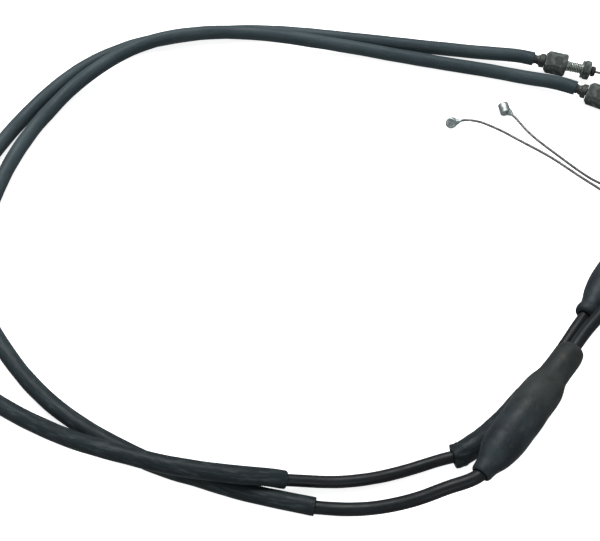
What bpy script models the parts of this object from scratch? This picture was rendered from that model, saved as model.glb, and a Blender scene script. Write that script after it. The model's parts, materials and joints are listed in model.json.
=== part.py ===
"""A pair of motorcycle throttle cables, pull and return, lying loose on a flat surface.

Each cable runs from a carburettor fitting (ferrule, adjuster, washer, lock nut) through a long sleeve
and a thinner casing to a rubber boot, which covers an in-line adjuster. Past the boot, a bent pipe with
a union nut lets the inner wire out to its barrel nipple at the throttle.

The frame: +X along the pair's longest extent, towards its fittings, +Z up, and the origin on the
surface under the middle of the pair. Lengths below are in millimetres and angles in degrees.
"""

import math

import bmesh
import bpy
import numpy as np
from mathutils import Matrix, Vector

MM = 0.001
GAP = 0.3

SLEEVE_RADIUS = 4.0
PULL_CASING_RADIUS = 2.7
RETURN_CASING_RADIUS = 2.9
WIRE_RADIUS = 0.75
WIRE_BORE = 1.4

PROTECTOR_RADIUS = 5.1
PROTECTOR_BORE = 3.3
PROTECTOR_START = 75.0
PROTECTOR_LENGTH = 48.0

STUD_RADIUS = 3.0
NUT_FLATS = 10.0
ADJUSTER_FLATS = 12.0
CORNER_TRIM = 0.1
CHAMFER_HEIGHT = 0.5
CHAMFER_WIDTH = 0.8
NIPPLE_RADIUS = 3.0
NIPPLE_LENGTH = 6.5
CARB_NIPPLE_RADIUS = 2.5
CARB_NIPPLE_LENGTH = 6.0

PIPE_RADIUS = 3.2
PIPE_BORE = 2.0
PIPE_BEND = 6.0

FERRULE_RADIUS = 3.6
BIG_RING_RADIUS = 4.3

SLEEVE_STEP = 15.0
CASING_STEP = 7.0
WIRE_STEP = 5.0
TUBE_RESOLUTION = 3
WIRE_RESOLUTION = 2
PIPE_RESOLUTION = 3
PIPE_BEND_STEPS = 8
TURNED_STEPS = 20
BOOT_STEPS = 24

# Routes of the cables' centrelines, chosen point by point, from the carburettor end to the throttle end.
PULL_SLEEVE_ROUTE = [
    (125.7, 120.5, 7), (116.7, 123, 7), (105, 125.7, 6.1), (89.9, 129.2, 4.5), (76, 131.8, 4),
    (58, 134.5, 4), (39.9, 137.3, 4), (21.9, 140, 4), (3.9, 142.7, 4), (-14, 145.1, 4), (-32, 146.9, 4),
    (-50, 147.1, 4), (-62.9, 146.6, 4), (-75.9, 145.4, 4), (-87.9, 143.2, 4), (-100.9, 139.8, 4),
    (-113, 135.7, 4), (-124.1, 130, 4), (-134.7, 123.5, 4), (-145.2, 114.4, 4), (-155, 103.1, 4),
    (-165.1, 88.3, 4), (-173.7, 73.2, 4), (-181.6, 56.6, 4), (-192, 29, 4), (-198, -4, 4), (-196, -38, 4),
    (-186, -67, 4), (-170, -87, 4), (-152.1, -99.6, 4.3), (-136.1, -108.5, 6), (-121.2, -115.8, 9.1),
    (-102.2, -123.2, 12.4), (-90.1, -126.5, 12.7), (-79.1, -129.2, 12.7), (-68.1, -131.5, 12.6),
    (-57, -133.2, 12.4), (-49, -134.2, 12.1), (-40, -135, 11.2), (-29.1, -135.1, 8.8),
    (-20.3, -135.4, 5.8),
]
RETURN_SLEEVE_ROUTE = [
    (146.6, 96.4, 7), (137.6, 100.5, 7), (126.7, 104.3, 6.1), (116, 108.4, 4.7), (105.1, 111.9, 4.1),
    (93, 115, 4), (76, 119, 4), (58, 123.2, 4), (40, 127.1, 4.6), (22, 130.7, 5.6), (4, 133.7, 6.8),
    (-14, 136.4, 8), (-32, 138.7, 9), (-50, 139.8, 9.8), (-62.9, 140.1, 10), (-75.9, 138.9, 10.1),
    (-87.9, 137, 10.1), (-99.8, 133.5, 10), (-110.7, 128.4, 9.7), (-121.7, 121.7, 8.9),
    (-132.6, 112.8, 7.9), (-143, 102.3, 6.7), (-153, 88.7, 5.5), (-162, 73.4, 4.6), (-170, 55, 4.1),
    (-176, 33, 4), (-180, 4, 4), (-179, -24, 4), (-171, -48, 4), (-158, -68, 4), (-146, -82.5, 4),
    (-134.9, -93.6, 4), (-123.8, -102.7, 4), (-113.6, -109.5, 4), (-103.5, -115.6, 4), (-91.5, -121.6, 4),
    (-79.6, -127.2, 4), (-68.7, -131.1, 4), (-57.7, -134.3, 4), (-43.9, -138.5, 4), (-30.9, -141.8, 4),
    (-18, -144.5, 4), (-7.5, -146.6, 4),
]
PULL_CASING_ROUTE = [
    (-19.8, -135.4, 5.6), (-8, -135.5, 4), (3, -135.4, 3), (16, -134, 2.7), (30, -131, 2.7),
    (42, -127.6, 3.5), (50, -125.6, 4.9), (56.1, -124.1, 5.5), (62.1, -120.8, 5.6), (69, -116, 5.6),
    (77, -109.2, 5.4), (83.5, -102.2, 5.2), (90.2, -94.8, 5.2), (97.5, -87.1, 5.4), (103.9, -80, 6.3),
    (110.8, -71.8, 8.1),
]
RETURN_CASING_ROUTE = [
    (-7.2, -146.9, 4), (3, -147.9, 4.9), (14, -148.4, 7.3), (26, -147.7, 10.9), (38, -145.5, 14.7),
    (50, -141.9, 17.9),
]
RETURN_UPPER_CASING_ROUTE = [(127, -60.8, 19.3), (138, -48.8, 19.8), (149, -36.8, 20.1)]
PULL_WIRE_ROUTE = [
    (146.2, 25, 9.4), (137.1, 33.2, 9), (128.4, 44, 8.1), (121.7, 52.8, 7.2), (115.6, 62, 6.1),
    (111.1, 71.6, 4.9), (109, 76.6, 4.2), (106.9, 80.3, 3.6),
]
RETURN_WIRE_ROUTE = [
    (140.8, 12.9, 19.8), (134.7, 19.9, 18.7), (128.6, 27.7, 17.2), (121, 37.3, 15.4), (114.4, 44.4, 13.9),
    (104.8, 54, 11.9), (98.4, 60.3, 10.7), (91.6, 65.6, 9.8), (87.2, 68.4, 9.3), (84, 69.7, 8.9),
    (81.3, 70.7, 8.3), (78.7, 71.4, 7.4), (77, 71.7, 6.6), (75.5, 71.9, 5.8),
]
PULL_NIPPLE_CENTRE = (104, 83.7, 3.6)
PULL_NIPPLE_AXIS = (-0.205, 0.963, 0.174)
RETURN_NIPPLE_CENTRE = (72.3, 72.2, 4.45)
RETURN_NIPPLE_AXIS = (-0.342, -0.670, 0.659)


class Line:
    """A straight axis in space that fittings sit on, measured in millimetres from its start."""

    def __init__(self, start, direction):
        self.start = Vector(start)
        self.direction = Vector(direction).normalized()

    def at(self, distance):
        return self.start + self.direction * distance

    def rotation(self):
        """Local +Z along the line, local +X level, and so local +Y as nearly up as it can be."""
        level = Vector((0, 0, 1)).cross(self.direction).normalized()
        up = self.direction.cross(level)
        return Matrix((level, up, self.direction)).transposed().to_euler()


def heading(degrees):
    """A level direction, turned by so many degrees from +X towards +Y."""
    return (math.cos(math.radians(degrees)), math.sin(math.radians(degrees)), 0)


PULL_CARB = Line(PULL_SLEEVE_ROUTE[0], heading(-17.4))
RETURN_CARB = Line(RETURN_SLEEVE_ROUTE[0], heading(-28))

# A boot's line starts at its lip, where the casing goes in.
PULL_BOOT = Line((123.4, -55.6, 9.5), heading(51.8))
RETURN_BOOT = Line((62.7, -136.7, 18.9), heading(50.2))
PULL_INLINE_START = 10.0
RETURN_INLINE_START = 14.0
INLINE_LENGTH = 36.0
PULL_CASING_END = PULL_INLINE_START + 4
RETURN_CASING_END = RETURN_INLINE_START + 4

# The boots' outlines, as (distance from the lip's line, radius). Both end in the same neck.
BOOT_NECK = [(58, 6.7), (72, 6.5), (75, 5.8), (76.3, 4.4)]
BOOT_BORE = 3.5
PULL_BOOT_OUTSIDE = [
    (-0.3, 4.2), (0.5, 5.1), (2, 5.5), (3.5, 5.4), (5.5, 5.0), (8, 5.4), (11, 6.4), (14, 7.3), (18, 8.1),
    (23, 8.6), (32, 8.9), (50, 9.0), (53, 8.6), (55.5, 7.6), *BOOT_NECK,
]
PULL_BOOT_INSIDE = [
    (-0.3, 3.1), (6.5, 3.1), (11, 5.2), (14, 6.1), (18, 6.9), (23, 7.4), (32, 7.6), (50, 7.7), (54, 6.9),
    (57.5, BOOT_BORE), (76.3, BOOT_BORE),
]
RETURN_BOOT_OUTSIDE = [
    (-1, 4.0), (0, 4.5), (2.5, 4.8), (4.5, 5.2), (8, 6.6), (11, 7.6), (15, 8.4), (20, 8.8), (30, 9.0),
    (46, 9.0), (50, 8.7), (53, 8.0), (55.5, 7.2), *BOOT_NECK,
]
RETURN_BOOT_INSIDE = [
    (-1, BOOT_BORE), (5, BOOT_BORE), (9, 5.4), (14, 6.9), (20, 7.5), (46, 7.7), (50, 7.4), (54, 6.2),
    (57.5, BOOT_BORE), (76.3, BOOT_BORE),
]

# An elbow's two lines meet at the corner that its bend cuts off.
PULL_CORNER = PULL_BOOT.at(84.2)
PULL_FOOT = Line(PULL_CORNER, PULL_BOOT.direction)
PULL_LEG = Line(PULL_CORNER, heading(154))
PULL_LEG_LENGTH = 27.0
PULL_ELBOW_NUT = 12.0
RETURN_CORNER = Vector((166.5, -17.7, 20.1))
RETURN_FOOT = Line(RETURN_CORNER, heading(47.5))
RETURN_LEG = Line(RETURN_CORNER, heading(130))
RETURN_LEG_LENGTH = 36.5
RETURN_ELBOW_NUT = 20.0
RETURN_PIPE_START = -12.3
WIRE_IN_ELBOW = 22.0

# Along a carburettor fitting, from the sleeve's end.
FLANGE = (3.4, 6.3)
ADJUSTER = (6.6, 33.5)
HEX = (8.6, 19.2)
WASHER = (28.3, 29.2)
LOCK_NUT = (29.5, 33.2)
END_CAP = (33.8, 36.2)
CARB_WIRE = (34.2, 58.2)
CARB_NIPPLE = CARB_WIRE[1] + GAP + CARB_NIPPLE_RADIUS


def clear_scene():
    for thing in list(bpy.data.objects):
        bpy.data.objects.remove(thing, do_unlink=True)


def new_collection(name):
    collection = bpy.data.collections.new(name)
    bpy.context.scene.collection.children.link(collection)
    return collection


def new_material(name, colour, roughness, metallic=0.0):
    material = bpy.data.materials.new(name)
    material.use_nodes = True
    shader = material.node_tree.nodes["Principled BSDF"]
    shader.inputs["Base Color"].default_value = (*colour, 1)
    shader.inputs["Roughness"].default_value = roughness
    shader.inputs["Metallic"].default_value = metallic
    return material


clear_scene()
PARTS = new_collection("throttle_cables")
CUTTERS = new_collection("cutters")

SLEEVE_PLASTIC = new_material("sleeve_plastic", (0.035, 0.045, 0.055), 0.5)
CASING_PLASTIC = new_material("casing_plastic", (0.012, 0.013, 0.014), 0.45)
BOOT_RUBBER = new_material("boot_rubber", (0.03, 0.036, 0.034), 0.75)
CAP_RUBBER = new_material("cap_rubber", (0.01, 0.01, 0.01), 0.6)
PLATED_STEEL = new_material("plated_steel", (0.36, 0.38, 0.36), 0.42, 1.0)
FERRULE_STEEL = new_material("ferrule_steel", (0.30, 0.28, 0.25), 0.5, 1.0)
NIPPLE_ZINC = new_material("nipple_zinc", (0.45, 0.48, 0.48), 0.38, 1.0)
WIRE_STEEL = new_material("wire_steel", (0.22, 0.22, 0.22), 0.4, 1.0)


def smooth_route(points, step):
    """Points about a step apart along the natural cubic spline through the given points."""
    knots = np.array([tuple(point) for point in points], dtype=float)
    chords = np.linalg.norm(np.diff(knots, axis=0), axis=1)
    reached = np.concatenate(([0.0], np.cumsum(chords)))
    count = len(knots)
    matrix = np.eye(count)
    right = np.zeros((count, 3))
    for i in range(1, count - 1):
        before, after = chords[i - 1], chords[i]
        matrix[i, i - 1:i + 2] = before, 2 * (before + after), after
        right[i] = 6 * ((knots[i + 1] - knots[i]) / after - (knots[i] - knots[i - 1]) / before)
    curving = np.linalg.solve(matrix, right)

    route = []
    for distance in np.linspace(0, reached[-1], max(2, round(reached[-1] / step)) + 1):
        i = min(int(np.searchsorted(reached, distance, side="right")) - 1, count - 2)
        length = chords[i]
        ahead = reached[i + 1] - distance
        behind = distance - reached[i]
        point = (curving[i] * ahead ** 3 + curving[i + 1] * behind ** 3) / (6 * length)
        point += (knots[i] / length - curving[i] * length / 6) * ahead
        point += (knots[i + 1] / length - curving[i + 1] * length / 6) * behind
        route.append(Vector(point))
    return route


def stretch(route, start, length, step):
    """The part of a route that starts at one distance along it and has a given length."""
    reached = [0.0]
    for here, there in zip(route, route[1:]):
        reached.append(reached[-1] + (there - here).length)
    coordinates = np.array([tuple(point) for point in route])
    part = []
    for distance in np.linspace(start, start + length, round(length / step) + 1):
        part.append(Vector([np.interp(distance, reached, coordinates[:, axis]) for axis in range(3)]))
    return part


def tube(name, route, radius, material, resolution=TUBE_RESOLUTION, collection=PARTS, origin=(0, 0, 0)):
    """A round solid of one radius along a route, with flat ends, as a curve object."""
    curve = bpy.data.curves.new(name, "CURVE")
    curve.dimensions = "3D"
    curve.bevel_depth = radius * MM
    curve.bevel_resolution = resolution
    curve.use_fill_caps = True
    spline = curve.splines.new("POLY")
    spline.points.add(len(route) - 1)
    for control, point in zip(spline.points, route):
        control.co = (*((point - Vector(origin)) * MM), 1)
    if material:
        curve.materials.append(material)
    thing = bpy.data.objects.new(name, curve)
    thing.location = Vector(origin) * MM
    collection.objects.link(thing)
    return thing


def solid_tube(name, route, radius, material, resolution, collection):
    """The same tube as a mesh with its caps welded on, so that a Boolean can cut or join it."""
    curve = tube(name + "_route", route, radius, material, resolution, collection)
    bpy.context.view_layer.update()
    evaluated = curve.evaluated_get(bpy.context.evaluated_depsgraph_get())
    mesh = bpy.data.meshes.new_from_object(evaluated)
    welded = bmesh.new()
    welded.from_mesh(mesh)
    bmesh.ops.remove_doubles(welded, verts=welded.verts, dist=0.01 * MM)
    welded.to_mesh(mesh)
    welded.free()
    thing = bpy.data.objects.new(name, mesh)
    thing.matrix_world = curve.matrix_world
    collection.objects.link(thing)
    bpy.data.objects.remove(curve)
    return thing


def hide(cutter):
    cutter.hide_render = True
    cutter.display_type = "WIRE"
    return cutter


def boolean(thing, operation, other):
    modifier = thing.modifiers.new(other.name, "BOOLEAN")
    modifier.operation = operation
    modifier.solver = "EXACT"
    modifier.object = other


def hollow_tube(name, route, radius, bore, material, resolution=TUBE_RESOLUTION):
    """A pipe that is open at both ends."""
    pipe = solid_tube(name, route, radius, material, resolution, PARTS)
    first = route[0] + (route[0] - route[1]).normalized()
    last = route[-1] + (route[-1] - route[-2]).normalized()
    inside = solid_tube(name + "_bore", [first, *route[1:-1], last], bore, None, resolution, CUTTERS)
    boolean(pipe, "DIFFERENCE", hide(inside))
    return pipe


def turned(name, outline, line, distance, material, steps=TURNED_STEPS, collection=PARTS):
    """A round piece: an outline of (radius, height) spun about the line.

    The outline runs down the outer side from the top. It comes back up the bore, or it starts and ends
    on the axis of a piece that has no bore. Heights count from the given distance along the line.
    """
    corners = [(radius * MM, 0, height * MM) for radius, height in outline]
    edges = [(i, i + 1) for i in range(len(corners) - 1)]
    if outline[0][0] > 0:
        edges.append((len(corners) - 1, 0))
    mesh = bpy.data.meshes.new(name)
    mesh.from_pydata(corners, edges, [])
    if material:
        mesh.materials.append(material)
    thing = bpy.data.objects.new(name, mesh)
    thing.location = line.at(distance) * MM
    thing.rotation_euler = line.rotation()
    collection.objects.link(thing)
    screw = thing.modifiers.new("turned", "SCREW")
    screw.axis = "Z"
    screw.angle = math.tau
    screw.steps = steps
    screw.render_steps = steps
    screw.use_merge_vertices = True
    screw.merge_threshold = 0.001 * MM
    return thing


def cut_hexagon(thing, line, distance, across_flats, length):
    """Leave only what lies inside a hexagonal bar along the line, with one of its corners up."""
    mesh = bpy.data.meshes.new(thing.name + "_hexagon")
    prism = bmesh.new()
    corner = across_flats / math.sqrt(3) * MM
    bmesh.ops.create_cone(prism, cap_ends=True, segments=6, radius1=corner, radius2=corner,
                          depth=length * MM, matrix=Matrix.Translation((0, 0, length / 2 * MM)))
    prism.to_mesh(mesh)
    prism.free()
    bar = bpy.data.objects.new(mesh.name, mesh)
    bar.location = line.at(distance) * MM
    bar.rotation_euler = line.rotation()
    CUTTERS.objects.link(bar)
    boolean(thing, "INTERSECT", hide(bar))


def hexagon_corner(across_flats):
    """How far a hexagon's corners reach once they are turned down a little."""
    return across_flats / math.sqrt(3) - CORNER_TRIM


def nut(name, line, distance, across_flats, height, bore, material):
    """A hexagonal nut with both faces chamfered."""
    corner = hexagon_corner(across_flats)
    face = corner - CHAMFER_WIDTH
    outline = [
        (face, height),
        (corner, height - CHAMFER_HEIGHT),
        (corner, CHAMFER_HEIGHT),
        (face, 0),
        (bore, 0),
        (bore, height),
    ]
    piece = turned(name, outline, line, distance, material)
    cut_hexagon(piece, line, distance - 1, across_flats, height + 2)


def ring(name, line, start, end, radius, bore, material):
    return turned(name, [(radius, end - start), (radius, 0), (bore, 0), (bore, end - start)],
                  line, start, material)


def cup_ferrule(name, line, start, length, radius, bore, material):
    """A ferrule over the end of a casing that comes in from below: a wide bore, then the wire's hole."""
    end_thickness = 1.5
    floor = length - end_thickness
    outline = [
        (radius, length),
        (radius, 0),
        (bore, 0),
        (bore, floor),
        (WIRE_BORE, floor),
        (WIRE_BORE, length),
    ]
    turned(name, outline, line, start, material)


def carb_ferrule(name, line):
    """The crimped neck at the sleeve's end, its flange, and the spigot that the adjuster turns on."""
    neck_radius = 2.7
    flange_radius = 4.0
    spigot_radius = 1.9
    spigot_end = ADJUSTER[0] + 3
    edge = 0.4
    outline = [
        (spigot_radius, spigot_end),
        (spigot_radius, FLANGE[1]),
        (flange_radius - edge, FLANGE[1]),
        (flange_radius, FLANGE[1] - edge),
        (flange_radius, FLANGE[0] + edge),
        (flange_radius - edge, FLANGE[0]),
        (neck_radius, FLANGE[0]),
        (neck_radius, GAP),
        (WIRE_BORE, GAP),
        (WIRE_BORE, spigot_end),
    ]
    turned(name, outline, line, 0, FERRULE_STEEL)


def adjuster(name, line):
    """Cone, hexagon and threaded stud in one piece, bored for the wire and counterbored for the spigot."""
    corner = hexagon_corner(ADJUSTER_FLATS)
    cone_radius = 4.6
    chamfer = 0.6
    stud_chamfer = 0.4
    spigot_bore = 2.2
    spigot_depth = ADJUSTER[0] + 3.4
    outline = [
        (STUD_RADIUS - stud_chamfer, ADJUSTER[1]),
        (STUD_RADIUS, ADJUSTER[1] - stud_chamfer),
        (STUD_RADIUS, HEX[1]),
        (corner - chamfer, HEX[1]),
        (corner, HEX[1] - chamfer),
        (corner, HEX[0]),
        (cone_radius, ADJUSTER[0]),
        (spigot_bore, ADJUSTER[0]),
        (spigot_bore, spigot_depth),
        (WIRE_BORE, spigot_depth),
        (WIRE_BORE, ADJUSTER[1]),
    ]
    piece = turned(name, outline, line, 0, PLATED_STEEL)
    cut_hexagon(piece, line, ADJUSTER[0] - 1, ADJUSTER_FLATS, ADJUSTER[1] - ADJUSTER[0] + 2)


def nipple(name, centre, axis, radius, length):
    """A barrel nipple with its two rims chamfered, its axis through the centre."""
    line = Line(centre, axis)
    rim = 0.4
    half = length / 2
    outline = [(0, half), (radius - rim, half), (radius, half - rim), (radius, rim - half),
               (radius - rim, -half), (0, -half)]
    turned(name, outline, line, 0, NIPPLE_ZINC)


def carb_end(cable, line):
    """Everything beyond the sleeve's upper end, which screws into the carburettor's bracket."""
    bore = STUD_RADIUS + 0.25
    carb_ferrule(cable + "_carb_ferrule", line)
    adjuster(cable + "_adjuster", line)
    ring(cable + "_washer", line, *WASHER, 5.0, bore, PLATED_STEEL)
    nut(cable + "_lock_nut", line, LOCK_NUT[0], NUT_FLATS, LOCK_NUT[1] - LOCK_NUT[0], bore, PLATED_STEEL)
    ring(cable + "_end_cap", line, *END_CAP, 2.95, WIRE_BORE, CAP_RUBBER)
    tube(cable + "_carb_wire", [line.at(CARB_WIRE[0]), line.at(CARB_WIRE[1])], WIRE_RADIUS, WIRE_STEEL,
         WIRE_RESOLUTION, origin=line.at(END_CAP[1]))
    nipple(cable + "_carb_nipple", line.at(CARB_NIPPLE), (0, 0, 1), CARB_NIPPLE_RADIUS, CARB_NIPPLE_LENGTH)


def boot(name, line, outside, inside):
    """A rubber boot: a soft lip, a wide barrel over the adjuster and a neck that hugs what comes out."""
    outline = [(radius, height) for height, radius in reversed(outside)]
    outline += [(radius, height) for height, radius in inside]
    turned(name, outline, line, 0, BOOT_RUBBER, BOOT_STEPS)


def inline_adjuster(cable, line, start, casing_bore):
    """The adjuster under the boot: the casing's ferrule, a screw, its lock nut and a hexagonal barrel."""
    ferrule_length = 6.0
    head_start = ferrule_length + GAP
    head_length = 3.7
    head_radius = 4.0
    screw_length = 27.7
    nut_start = 19.0
    nut_height = 4.0
    barrel_start = nut_start + nut_height + 0.4
    barrel_length = INLINE_LENGTH - barrel_start
    thread_room = head_start + screw_length + 0.5 - barrel_start
    corner = hexagon_corner(NUT_FLATS)
    bore = STUD_RADIUS + 0.4
    cup_ferrule(cable + "_inline_ferrule", line, start, ferrule_length, FERRULE_RADIUS, casing_bore,
                FERRULE_STEEL)

    screw_outline = [
        (STUD_RADIUS, screw_length),
        (STUD_RADIUS, head_length),
        (head_radius, head_length),
        (head_radius, 0),
        (WIRE_BORE, 0),
        (WIRE_BORE, screw_length),
    ]
    turned(cable + "_inline_screw", screw_outline, line, start + head_start, PLATED_STEEL)
    nut(cable + "_inline_nut", line, start + nut_start, NUT_FLATS, nut_height, bore, PLATED_STEEL)

    barrel_outline = [
        (corner - CHAMFER_WIDTH, barrel_length),
        (corner, barrel_length - CHAMFER_HEIGHT),
        (corner, CHAMFER_HEIGHT),
        (corner - CHAMFER_WIDTH, 0),
        (bore, 0),
        (bore, thread_room),
        (WIRE_BORE, thread_room),
        (WIRE_BORE, barrel_length),
    ]
    barrel = turned(cable + "_inline_barrel", barrel_outline, line, start + barrel_start, PLATED_STEEL)
    cut_hexagon(barrel, line, start + barrel_start - 1, NUT_FLATS, barrel_length + 2)


def elbow_route(foot, leg, start, leg_length):
    """Straight up the foot's line, round a bend of constant radius, and straight out along the leg."""
    turn = foot.direction.angle(leg.direction)
    tangent = PIPE_BEND * math.tan(turn / 2)
    bend_start = foot.at(-tangent)
    inwards = (leg.direction - foot.direction * leg.direction.dot(foot.direction)).normalized()
    route = [foot.at(start)]
    for i in range(PIPE_BEND_STEPS + 1):
        angle = turn * i / PIPE_BEND_STEPS
        forwards = foot.direction * math.sin(angle) * PIPE_BEND
        route.append(bend_start + forwards + inwards * (1 - math.cos(angle)) * PIPE_BEND)
    route.append(leg.at(leg_length))
    return route


def elbow(cable, foot, leg, start, leg_length, nut_start):
    """The bent pipe, with the collar that keeps the union nut on it, and the union nut."""
    pipe = hollow_tube(cable + "_elbow", elbow_route(foot, leg, start, leg_length), PIPE_RADIUS, PIPE_BORE,
                       PLATED_STEEL, PIPE_RESOLUTION)
    collar_start = nut_start + 12
    collar_end = collar_start + 1.4
    collar = ring(cable + "_collar", leg, collar_start, collar_end, BIG_RING_RADIUS, PIPE_RADIUS - 0.5, None)
    CUTTERS.objects.link(collar)
    PARTS.objects.unlink(collar)
    boolean(pipe, "UNION", hide(collar))

    corner = hexagon_corner(ADJUSTER_FLATS)
    hexagon = 5.0
    length = 11.0
    spigot = 4.9
    spigot_chamfer = 0.5
    bore = PIPE_RADIUS + GAP
    outline = [
        (spigot - spigot_chamfer, length),
        (spigot, length - spigot_chamfer),
        (spigot, hexagon),
        (corner - CHAMFER_WIDTH, hexagon),
        (corner, hexagon - CHAMFER_HEIGHT),
        (corner, CHAMFER_HEIGHT),
        (corner - CHAMFER_WIDTH, 0),
        (bore, 0),
        (bore, length),
    ]
    union = turned(cable + "_elbow_nut", outline, leg, nut_start, PLATED_STEEL)
    cut_hexagon(union, leg, nut_start - 1, ADJUSTER_FLATS, length + 2)


def throttle_wire(cable, leg, leg_length, route):
    """The inner wire from inside the elbow's straight leg to just short of its nipple."""
    in_pipe = [leg.at(leg_length - back) for back in (WIRE_IN_ELBOW, 15, 8, 1)]
    tube(cable + "_throttle_wire", smooth_route(in_pipe + route, WIRE_STEP), WIRE_RADIUS, WIRE_STEEL,
         WIRE_RESOLUTION, origin=leg.at(leg_length))


def pull_cable():
    sleeve = smooth_route(PULL_SLEEVE_ROUTE, SLEEVE_STEP)
    tube("pull_sleeve", sleeve, SLEEVE_RADIUS, SLEEVE_PLASTIC)

    into_boot = [PULL_BOOT.at(distance) for distance in (-8, -4, 0, 4, PULL_CASING_END)]
    casing = smooth_route(PULL_CASING_ROUTE + into_boot, CASING_STEP)
    tube("pull_lower_casing", casing, PULL_CASING_RADIUS, CASING_PLASTIC)
    worn = stretch(smooth_route(PULL_CASING_ROUTE + into_boot, 1), PROTECTOR_START, PROTECTOR_LENGTH, 3.5)
    hollow_tube("pull_protector", worn, PROTECTOR_RADIUS, PROTECTOR_BORE, SLEEVE_PLASTIC, PIPE_RESOLUTION)

    carb_end("pull", PULL_CARB)
    boot("pull_boot", PULL_BOOT, PULL_BOOT_OUTSIDE, PULL_BOOT_INSIDE)
    inline_adjuster("pull", PULL_BOOT, PULL_INLINE_START, PULL_CASING_RADIUS + GAP)
    pipe_start = PULL_INLINE_START + INLINE_LENGTH + GAP - (PULL_CORNER - PULL_BOOT.start).length
    elbow("pull", PULL_FOOT, PULL_LEG, pipe_start, PULL_LEG_LENGTH, PULL_ELBOW_NUT)
    throttle_wire("pull", PULL_LEG, PULL_LEG_LENGTH, PULL_WIRE_ROUTE)
    nipple("pull_throttle_nipple", PULL_NIPPLE_CENTRE, PULL_NIPPLE_AXIS, NIPPLE_RADIUS, NIPPLE_LENGTH)


def return_cable():
    sleeve = smooth_route(RETURN_SLEEVE_ROUTE, SLEEVE_STEP)
    tube("return_sleeve", sleeve, SLEEVE_RADIUS, SLEEVE_PLASTIC)

    into_boot = [RETURN_BOOT.at(distance) for distance in (0, 6, RETURN_CASING_END)]
    casing = smooth_route(RETURN_CASING_ROUTE + into_boot, CASING_STEP)
    tube("return_lower_casing", casing, RETURN_CASING_RADIUS, CASING_PLASTIC)

    carb_end("return", RETURN_CARB)
    boot("return_boot", RETURN_BOOT, RETURN_BOOT_OUTSIDE, RETURN_BOOT_INSIDE)
    inline_adjuster("return", RETURN_BOOT, RETURN_INLINE_START, RETURN_CASING_RADIUS + GAP)

    casing_bore = RETURN_CASING_RADIUS + GAP
    ferrule_start = RETURN_INLINE_START + INLINE_LENGTH + GAP
    ferrule_length = 5.0
    upper_start = ferrule_start + 1.8
    downwards = Line(RETURN_BOOT.at(ferrule_start + ferrule_length), -RETURN_BOOT.direction)
    cup_ferrule("return_inline_upper_ferrule", downwards, 0, ferrule_length, FERRULE_RADIUS, casing_bore,
                FERRULE_STEEL)
    out_of_boot = [RETURN_BOOT.at(distance) for distance in (upper_start, 64, 76, 88)]
    to_elbow = [RETURN_FOOT.at(RETURN_PIPE_START - GAP - back) for back in (7, 0)]
    upper = smooth_route(out_of_boot + RETURN_UPPER_CASING_ROUTE + to_elbow, CASING_STEP)
    tube("return_upper_casing", upper, RETURN_CASING_RADIUS, CASING_PLASTIC)
    over_casing = RETURN_PIPE_START - 5
    over_pipe = RETURN_PIPE_START + 4
    ring("return_elbow_ferrule", RETURN_FOOT, over_casing, over_pipe, BIG_RING_RADIUS, PIPE_RADIUS + GAP,
         FERRULE_STEEL)

    elbow("return", RETURN_FOOT, RETURN_LEG, RETURN_PIPE_START, RETURN_LEG_LENGTH, RETURN_ELBOW_NUT)
    throttle_wire("return", RETURN_LEG, RETURN_LEG_LENGTH, RETURN_WIRE_ROUTE)
    nipple("return_throttle_nipple", RETURN_NIPPLE_CENTRE, RETURN_NIPPLE_AXIS, NIPPLE_RADIUS,
           NIPPLE_LENGTH)


pull_cable()
return_cable()
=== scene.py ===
"""The looks of a pair of motorcycle throttle cables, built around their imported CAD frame.

Every piece here stands for one CAD node and rides on that node's body. Nearly all of them are one kind
of surface: an outline of (distance, radius) carried along a centreline, which is a smooth route for a
cable and a straight axis for a turned fitting. Lengths are in metres and angles in radians.
"""

import json
import math

import bpy
import numpy as np
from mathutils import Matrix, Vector, noise


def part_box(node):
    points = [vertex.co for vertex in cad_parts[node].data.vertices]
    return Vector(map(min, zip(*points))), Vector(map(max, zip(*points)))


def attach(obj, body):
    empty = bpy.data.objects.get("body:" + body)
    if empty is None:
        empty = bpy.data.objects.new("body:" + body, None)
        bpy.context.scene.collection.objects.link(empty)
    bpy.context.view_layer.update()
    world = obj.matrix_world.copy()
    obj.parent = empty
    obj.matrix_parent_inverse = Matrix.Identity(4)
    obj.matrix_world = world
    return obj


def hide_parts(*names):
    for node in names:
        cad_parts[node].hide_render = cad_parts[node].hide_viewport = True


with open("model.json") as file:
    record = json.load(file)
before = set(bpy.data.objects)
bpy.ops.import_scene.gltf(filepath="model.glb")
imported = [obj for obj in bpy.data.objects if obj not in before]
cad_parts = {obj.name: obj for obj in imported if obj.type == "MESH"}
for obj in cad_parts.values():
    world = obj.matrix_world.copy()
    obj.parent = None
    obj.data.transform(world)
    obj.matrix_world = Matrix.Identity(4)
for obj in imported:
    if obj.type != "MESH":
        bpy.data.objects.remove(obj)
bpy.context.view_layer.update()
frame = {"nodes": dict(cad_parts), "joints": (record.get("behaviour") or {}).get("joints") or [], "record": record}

MM = 0.001
UP = np.array((0.0, 0.0, 1.0))

SLEEVE_RADIUS = 4.0 * MM
PULL_CASING_RADIUS = 2.7 * MM
RETURN_CASING_RADIUS = 2.9 * MM
WIRE_RADIUS = 0.75 * MM
WIRE_BORE = 1.4 * MM
STUD_RADIUS = 3.0 * MM
NUT_FLATS = 10 * MM
ADJUSTER_FLATS = 12 * MM
NUT_BORE = STUD_RADIUS + 0.25 * MM
NUT_CHAMFER = (0.5 * MM, 0.9 * MM)
THREAD_PITCH = 1 * MM
PIPE_RADIUS = 3.2 * MM
PIPE_BORE = 2.0 * MM
PIPE_BEND = 6.0 * MM
WALL_GAP = 0.3 * MM
INTO_NIPPLE = 1.5 * MM
BOOT_LENGTH = 76.3 * MM
SHARP_EDGE = math.radians(42)

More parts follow.
